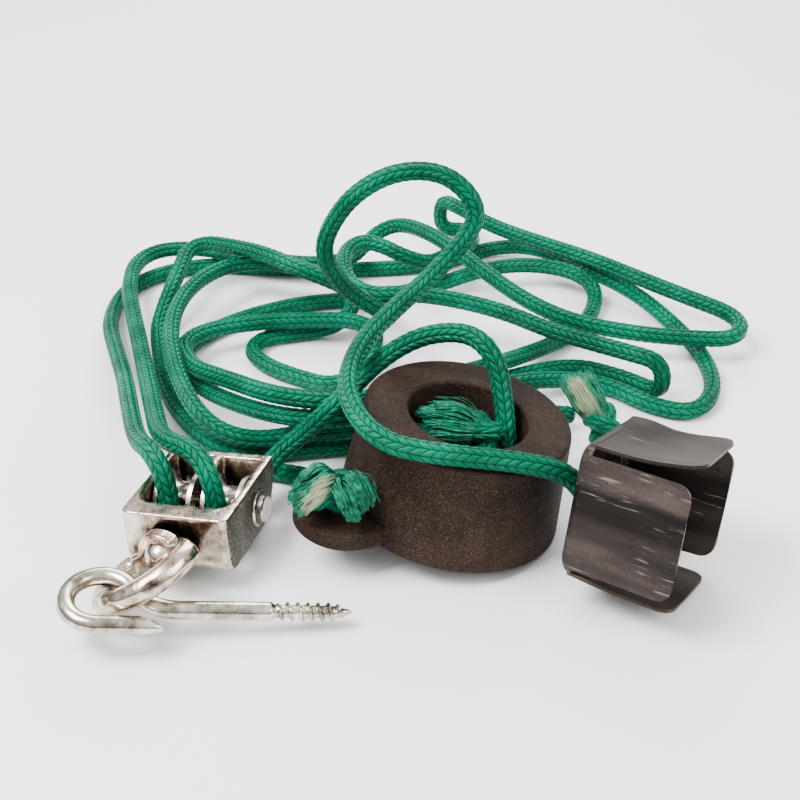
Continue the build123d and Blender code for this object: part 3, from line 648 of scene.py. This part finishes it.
knots = {}
for name, centre, axis in (
    ("knot_well", WELL, IN_WEIGHT @ Vector((0.3, 1.0, 0.1))),
    ("knot_lug", LUG, IN_WEIGHT @ Vector((0.0, 0.0, 1.0))),
    ("knot_back", BACK, Vector((1.0, 0.2, 0.2))),
    ("knot_clip", CLIPKNOT, IN_CLIP @ Vector((1.0, 0.0, 0.0))),
):
    line = nurbs_line(name + "_line", knot_line(axis_matrix(axis), centre))
    knots[name], _ = braid("braided_" + name, line, radius=ROPE * 0.96)
    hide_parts(name)

tails = [
    tuft(
        "tuft_well", WELL + Vector((0, 0, 0.001)), IN_WEIGHT @ Vector((-1.0, 0.1, 0.22)), 0.0210, 0.0074,
        (0.0, 0.4), 620, 3, 0.0035,
    ),
    tuft(
        "tuft_lug_left", LUG + Vector((0.001, -0.001, 0.003)), Vector((-0.86, -0.36, 0.30)), 0.0125, 0.0070,
        (0.85, 0.30), 620, 5, 0.0050, 0.0178,
    ),
    tuft(
        "tuft_lug_right", LUG + Vector((0.004, -0.001, 0.003)), Vector((0.45, -0.70, 0.12)), 0.0100, 0.0064,
        (0.0, 0.0), 560, 7, 0.0045, 0.0150,
    ),
    tuft("tuft_back", BACK, Vector((-0.55, 0.45, 0.78)), 0.0205, 0.0070, (0.8, 0.6), 620, 9),
    tuft("tuft_clip", CLIPKNOT, IN_CLIP @ Vector((0.8, 0.3, -0.5)), 0.0122, 0.0046, (0.2, 1.0), 260, 11),
]

for piece in (cord_a, cord_b, *knots.values(), *tails):
    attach(piece, "root")
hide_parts("cord_a")
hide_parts("cord_b", "cord_b_coil")


# ---- screw hook --------------------------------------------------------------------------------
def loft(rings, closed_start=True, closed_end=True):
    """Faces between rings of equal length, with the end rings closed."""
    count = len(rings[0])
    verts = [v for ring in rings for v in ring]
    faces = []
    for i in range(len(rings) - 1):
        for j in range(count):
            k = (j + 1) % count
            faces.append((i * count + j, i * count + k, (i + 1) * count + k, (i + 1) * count + j))
    if closed_start:
        faces.append(tuple(range(count - 1, -1, -1)))
    if closed_end:
        faces.append(tuple(range((len(rings) - 1) * count, len(rings) * count)))
    return verts, faces


def make_hook():
    """The bent wire with its nipped point, and a shank that ends in a real wood-screw thread."""
    loop, bend, closing, wire = 9.03, 13.97, math.radians(62.58), 2.5
    loop_end = (loop * math.sin(closing), loop * math.cos(closing))
    centre = (loop_end[0] + bend * math.sin(closing), loop_end[1] + bend * math.cos(closing))
    shank_y = centre[1] - bend
    free_end, nip = 16.66, 6.5
    stations = []                                   # x, y, direction angle, radius, radius across
    for k in range(15):
        f = k / 14
        thin = 0.10 + 0.90 * math.sin(f * math.pi / 2) ** 0.75
        lean = -loop - 1.35 * (1 - f) ** 1.6
        stations.append((free_end - nip * f, lean, math.pi, wire * thin, wire * (0.18 + 0.82 * thin)))
    stations.append((4.0, -loop, math.pi, wire, wire))
    for k in range(49):
        a = -math.pi / 2 - (math.pi + closing) * k / 48
        stations.append((loop * math.cos(a), loop * math.sin(a), a - math.pi / 2, wire, wire))
    for k in range(1, 25):
        turn = closing * k / 24
        a = math.pi / 2 - closing + math.pi + turn
        x, y = centre[0] + bend * math.cos(a), centre[1] + bend * math.sin(a)
        stations.append((x, y, a + math.pi / 2, wire, wire))
    shank_start = centre[0]
    for x in (6.0, 12.0, 18.0, 23.6):
        stations.append((shank_start + x, shank_y, 0.0, wire, wire))
    rings = []
    around = 28
    for x, y, angle, radius, flat in stations:
        side = Vector((-math.sin(angle), math.cos(angle), 0.0))
        ring = []
        for j in range(around):
            turn = 2 * math.pi * j / around
            rise = Vector((0, 0, flat * math.sin(turn)))
            ring.append((Vector((x, y, 0)) + side * radius * math.cos(turn) + rise) * MM)
        rings.append(ring)
    length, pitch, core, crest, point = 21.6, 2.7, 1.72, 2.68, 5.0
    rows, thread_start = 190, 24.23
    for i in range(rows + 1):
        x = length * i / rows
        start = min(1.0, x / 1.3)
        tip = min(1.0, (length - x) / point)
        body = (wire + (core - wire) * start) * (0.16 + 0.84 * tip ** 0.8)
        run_in = min(1.0, max(0.0, (x - 0.6) / 2.0))
        run_out = min(1.0, max(0.0, (length - 0.5 - x) / 3.6))
        grow = (crest - core) * run_in * run_out
        at_x = shank_start + thread_start + x
        ring = []
        for j in range(around):
            turn = 2 * math.pi * j / around
            place = (x / pitch - turn / (2 * math.pi)) % 1.0
            ridge = max(0.0, 1.0 - abs(place - 0.5) / 0.26) ** 0.8
            radius = body + grow * ridge
            ring.append(Vector((at_x, shank_y + radius * math.cos(turn), radius * math.sin(turn))) * MM)
        rings.append(ring)
    verts, faces = loft(rings)
    return placed_mesh("threaded_hook", verts, faces, HOOK, ZINC)


# ---- spring clip -------------------------------------------------------------------------------
CLIP_HALF = 18.85
CLIP_SKIN = 0.9
CLIP_REACH = 32.3
FINGER_ROOT = 2.3                # where a finger leaves the base, in mm from the base's outside


def sheet_grid(points, normals, thickness):
    """A closed sheet from rows of points, with its thickness laid on the side away from the normals."""
    rows, columns = len(points), len(points[0])
    verts = [p for row in points for p in row]
    verts += [p - n * thickness for row, turn in zip(points, normals) for p, n in zip(row, turn)]
    half = rows * columns
    faces = []
    for i in range(rows - 1):
        for j in range(columns - 1):
            a = i * columns + j
            faces.append((a, a + 1, a + 1 + columns, a + columns))
            b = a + half
            faces.append((b, b + columns, b + 1 + columns, b + 1))
    border = [(0, j) for j in range(columns)] + [(i, columns - 1) for i in range(1, rows)]
    border += [(rows - 1, j) for j in range(columns - 2, -1, -1)] + [(i, 0) for i in range(rows - 2, 0, -1)]
    ids = [i * columns + j for i, j in border]
    for a, b in zip(ids, ids[1:] + ids[:1]):
        faces.append((b, a, a + half, b + half))
    return verts, faces


def finger(quarter, bow, dip, lift):
    """One sprung finger: it leaves the rim of the base and bends a little both ways.

    bow curves it across, dip along, and lift raises the corner nearest its root."""
    turn = Matrix.Rotation(quarter * math.pi / 2, 4, "X")
    rows, columns, corner, width = 30, 19, 4.4, 32.6
    points = []
    for i in range(rows + 1):
        f = i / rows
        along = f ** 0.8 if f < 0.5 else 1 - (1 - 0.5 ** 0.8) * ((1 - f) / 0.5) ** 1.35
        x = FINGER_ROOT + (CLIP_REACH - FINGER_ROOT) * along
        into = max(0.0, x - (CLIP_REACH - corner))
        narrow = corner - math.sqrt(max(0.0, corner ** 2 - into ** 2))
        row = []
        for j in range(columns):
            s = 2.0 * j / (columns - 1) - 1.0
            y = s * (width / 2 - narrow)
            g = x / CLIP_REACH
            z = CLIP_HALF - 0.05 + 2.1 * g
            z += bow * (1 - s * s) * min(1.0, g * 2.5) - bow * 0.5 * min(1.0, g * 2.5)
            z -= dip * math.sin(math.pi * min(1.0, g)) ** 1.3
            z += lift * max(0.0, s) ** 2 * math.exp(-((g - 0.22) / 0.20) ** 2)
            row.append(Vector((x, y, z)))
        points.append(row)
    normals = []
    for i in range(rows + 1):
        row = []
        for j in range(columns):
            ahead = points[min(i + 1, rows)][j] - points[max(i - 1, 0)][j]
            aside = points[i][min(j + 1, columns - 1)] - points[i][max(j - 1, 0)]
            up = ahead.cross(aside)
            row.append(up.normalized() if up.length > 1e-6 else Vector((0, 0, 1)))
        normals.append(row)
    verts, faces = sheet_grid(points, normals, CLIP_SKIN)
    return [turn @ v for v in verts], faces


def rounded_square(half, corner, count=24):
    """Points of a rounded square in the yz plane, count to a quarter."""
    out = []
    for quarter in range(4):
        middle = math.pi / 4 + quarter * math.pi / 2
        cy = (half - corner) * math.copysign(1, math.cos(middle))
        cz = (half - corner) * math.copysign(1, math.sin(middle))
        for k in range(count):
            a = quarter * math.pi / 2 + math.pi / 2 * (k + 0.5) / count
            out.append((cy + corner * math.cos(a), cz + corner * math.sin(a)))
    return out


def base_pan():
    """The square base with its edge rolled up all round, and the cord hole."""
    outline = rounded_square(CLIP_HALF, 4.2)
    roll, rim = 3.4, 3.6

    def ring(x, inset):
        shrink = 1 - inset / CLIP_HALF
        return [Vector((x, y * shrink, z * shrink)) for y, z in outline]

    def hole(x):
        return [
            Vector((x, 4.2 * y / math.hypot(y, z), 4.2 * z / math.hypot(y, z) - 2.0))
            for y, z in outline
        ]

    rings = [hole(0.0)]
    for k in range(1, 8):
        outer = ring(0.0, roll)
        rings.append([a.lerp(b, k / 8) for a, b in zip(hole(0.0), outer)])
    for k in range(9):
        a = math.pi / 2 * k / 8
        rings.append(ring(roll * (1 - math.cos(a)), roll * (1 - math.sin(a))))
    rings.append(ring(rim, 0.0))
    rings.append(ring(rim + 0.15, 0.3))
    rings.append(ring(rim, CLIP_SKIN))
    for k in range(8, -1, -1):
        a = math.pi / 2 * k / 8
        inner = roll - CLIP_SKIN
        rings.append(ring(CLIP_SKIN + inner * (1 - math.cos(a)), CLIP_SKIN + inner * (1 - math.sin(a))))
    rings.append(hole(CLIP_SKIN))
    verts, faces = loft(rings, closed_start=False, closed_end=False)
    count = len(outline)
    last = (len(rings) - 1) * count
    faces += [(last + j, last + (j + 1) % count, (j + 1) % count, j) for j in range(count)]
    return verts, faces


def make_clip():
    """The base and its four fingers, each bent in its own way."""
    verts, faces = base_pan()
    bends = ((0, -0.5, 1.3, 1.1), (1, 0.9, 0.2, 0.0), (2, 0.2, -0.6, 0.0), (3, 0.6, 0.2, 0.0))
    for quarter, bow, dip, lift in bends:
        more, quads = finger(quarter, bow, dip, lift)
        start = len(verts)
        verts += more
        faces += [tuple(start + v for v in quad) for quad in quads]
    return placed_mesh("sprung_clip", [v * MM for v in verts], faces, CLIP, BLACK)


# ---- the two castings, with their edges rounded off ----------------------------------------------
BORE_KEPT = 0.0028               # nearer to the pin's axis than this, and
BORE_REACH = 0.0080              # no farther along it than this, nothing is worn round
CHEEK_FACING = 0.75              # how squarely a cheek's own face looks sideways


def softened(name, node, voxel, rounds, bore=None):
    """A casting remeshed from the CAD node's shape, its edges worn round except near its bore.

    The voxel's side is in metres, and each round is one pass of smoothing.
    """
    source = bpy.data.objects[node]
    shape = source.data.copy()
    shape.transform(source.matrix_world)
    obj = link(bpy.data.objects.new(name, shape))
    remesh = obj.modifiers.new("remesh", "REMESH")
    remesh.mode = "VOXEL"
    remesh.voxel_size = voxel
    drawn = obj.evaluated_get(bpy.context.evaluated_depsgraph_get())
    baked = bpy.data.meshes.new_from_object(drawn)
    obj.modifiers.clear()
    obj.data = baked
    skin = bmesh.new()
    skin.from_mesh(baked)
    free = list(skin.verts)
    if bore is not None:
        to_bore = bore.inverted()
        near = [to_bore @ vertex.co for vertex in skin.verts]
        free = [
            vertex for vertex, at in zip(free, near)
            if at.xz.length > BORE_KEPT or abs(at.y) > BORE_REACH
        ]
    for _ in range(rounds):
        bmesh.ops.smooth_vert(
            skin, verts=free, factor=0.5, use_axis_x=True, use_axis_y=True, use_axis_z=True,
        )
    skin.to_mesh(baked)
    skin.free()
    baked.polygons.foreach_set("use_smooth", [True] * len(baked.polygons))
    baked.materials.clear()
    baked.materials.append(NICKEL)
    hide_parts(node)
    return obj


polished_frame = softened("polished_frame", "pulley_frame", 0.00030, 10)
polished_frame.data.materials.append(CAST_NICKEL)
sideways = PULLEY.col[0].xyz
for face in polished_frame.data.polygons:
    on_cheek = abs((face.center - PULLEY.translation).dot(sideways)) > CHEEK_FACE
    face.material_index = int(on_cheek and abs(face.normal.dot(sideways)) > CHEEK_FACING)
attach(polished_frame, "root")
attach(softened("polished_eye", "swivel_eye", 0.00026, 30, bore=SWIVEL), "eye")

hook = make_hook()
clip = make_clip()
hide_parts("screw_hook")
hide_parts("spring_clip")
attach(hook, "hook")
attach(clip, "root")


# ---- carried-over CAD pieces get their materials -----------------------------------------------
def dress(node, material):
    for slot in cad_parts[node].material_slots[:1]:
        slot.link = "OBJECT"
        slot.material = material


for node, material in (
    ("axle_rivet", BRIGHT), ("sheave_left", BRIGHT), ("sheave_right", BRIGHT),
    ("swivel_pin", NICKEL), ("counterweight", IRON),
):
    dress(node, material)


# ---- floor and light -----------------------------------------------------------------------
def make_stage():
    """A pale floor, a sky that is dark low down and bright above, and three soft lights."""
    corners = [(-3, -3, 0), (3, -3, 0), (3, 3, 0), (-3, 3, 0)]
    floor = mesh_object("floor", corners, [(0, 1, 2, 3)], smooth=False)
    m = Nodes("pale_floor", Roughness=0.7, Specular_IOR_Level=0.2)
    m.set("Base Color", m.ramp(m.noise(m.place(), 3.0), (0.3, grey(0.90)), (0.7, grey(0.93))))
    floor.data.materials.append(m.material)
    world = bpy.data.worlds.new("studio")
    world.use_nodes = True
    tree = world.node_tree
    sky = tree.nodes.new("ShaderNodeTexCoord")
    split = tree.nodes.new("ShaderNodeSeparateXYZ")
    ramp = tree.nodes.new("ShaderNodeValToRGB")
    tree.links.new(sky.outputs["Generated"], split.inputs[0])
    tree.links.new(split.outputs[2], ramp.inputs[0])
    tree.links.new(ramp.outputs[0], tree.nodes["Background"].inputs[0])
    stops = ((0.0, 0.06), (0.16, 0.16), (0.40, 0.95), (1.0, 1.45))
    while len(ramp.color_ramp.elements) < len(stops):
        ramp.color_ramp.elements.new(0.5)
    for point, (place, value) in zip(ramp.color_ramp.elements, stops):
        point.position = place
        point.color = (value, value, value, 1.0)
    tree.nodes["Background"].inputs[1].default_value = 1.15
    bpy.context.scene.world = world
    for name, place, target, size, power in (
        ("key", (-0.50, -0.15, 0.80), (0, 0.05, 0), 0.45, 19.0),
        ("fill", (0.75, -0.35, 0.60), (0, 0.05, 0), 0.5, 7.0),
        ("back", (0.1, 0.9, 0.7), (0, 0.05, 0), 0.6, 11.0),
    ):
        data = bpy.data.lights.new(name, "AREA")
        data.energy = power
        data.size = size
        light = link(bpy.data.objects.new(name, data))
        light.location = place
        light.rotation_euler = (Vector(target) - Vector(place)).to_track_quat("-Z", "Y").to_euler()


make_stage()
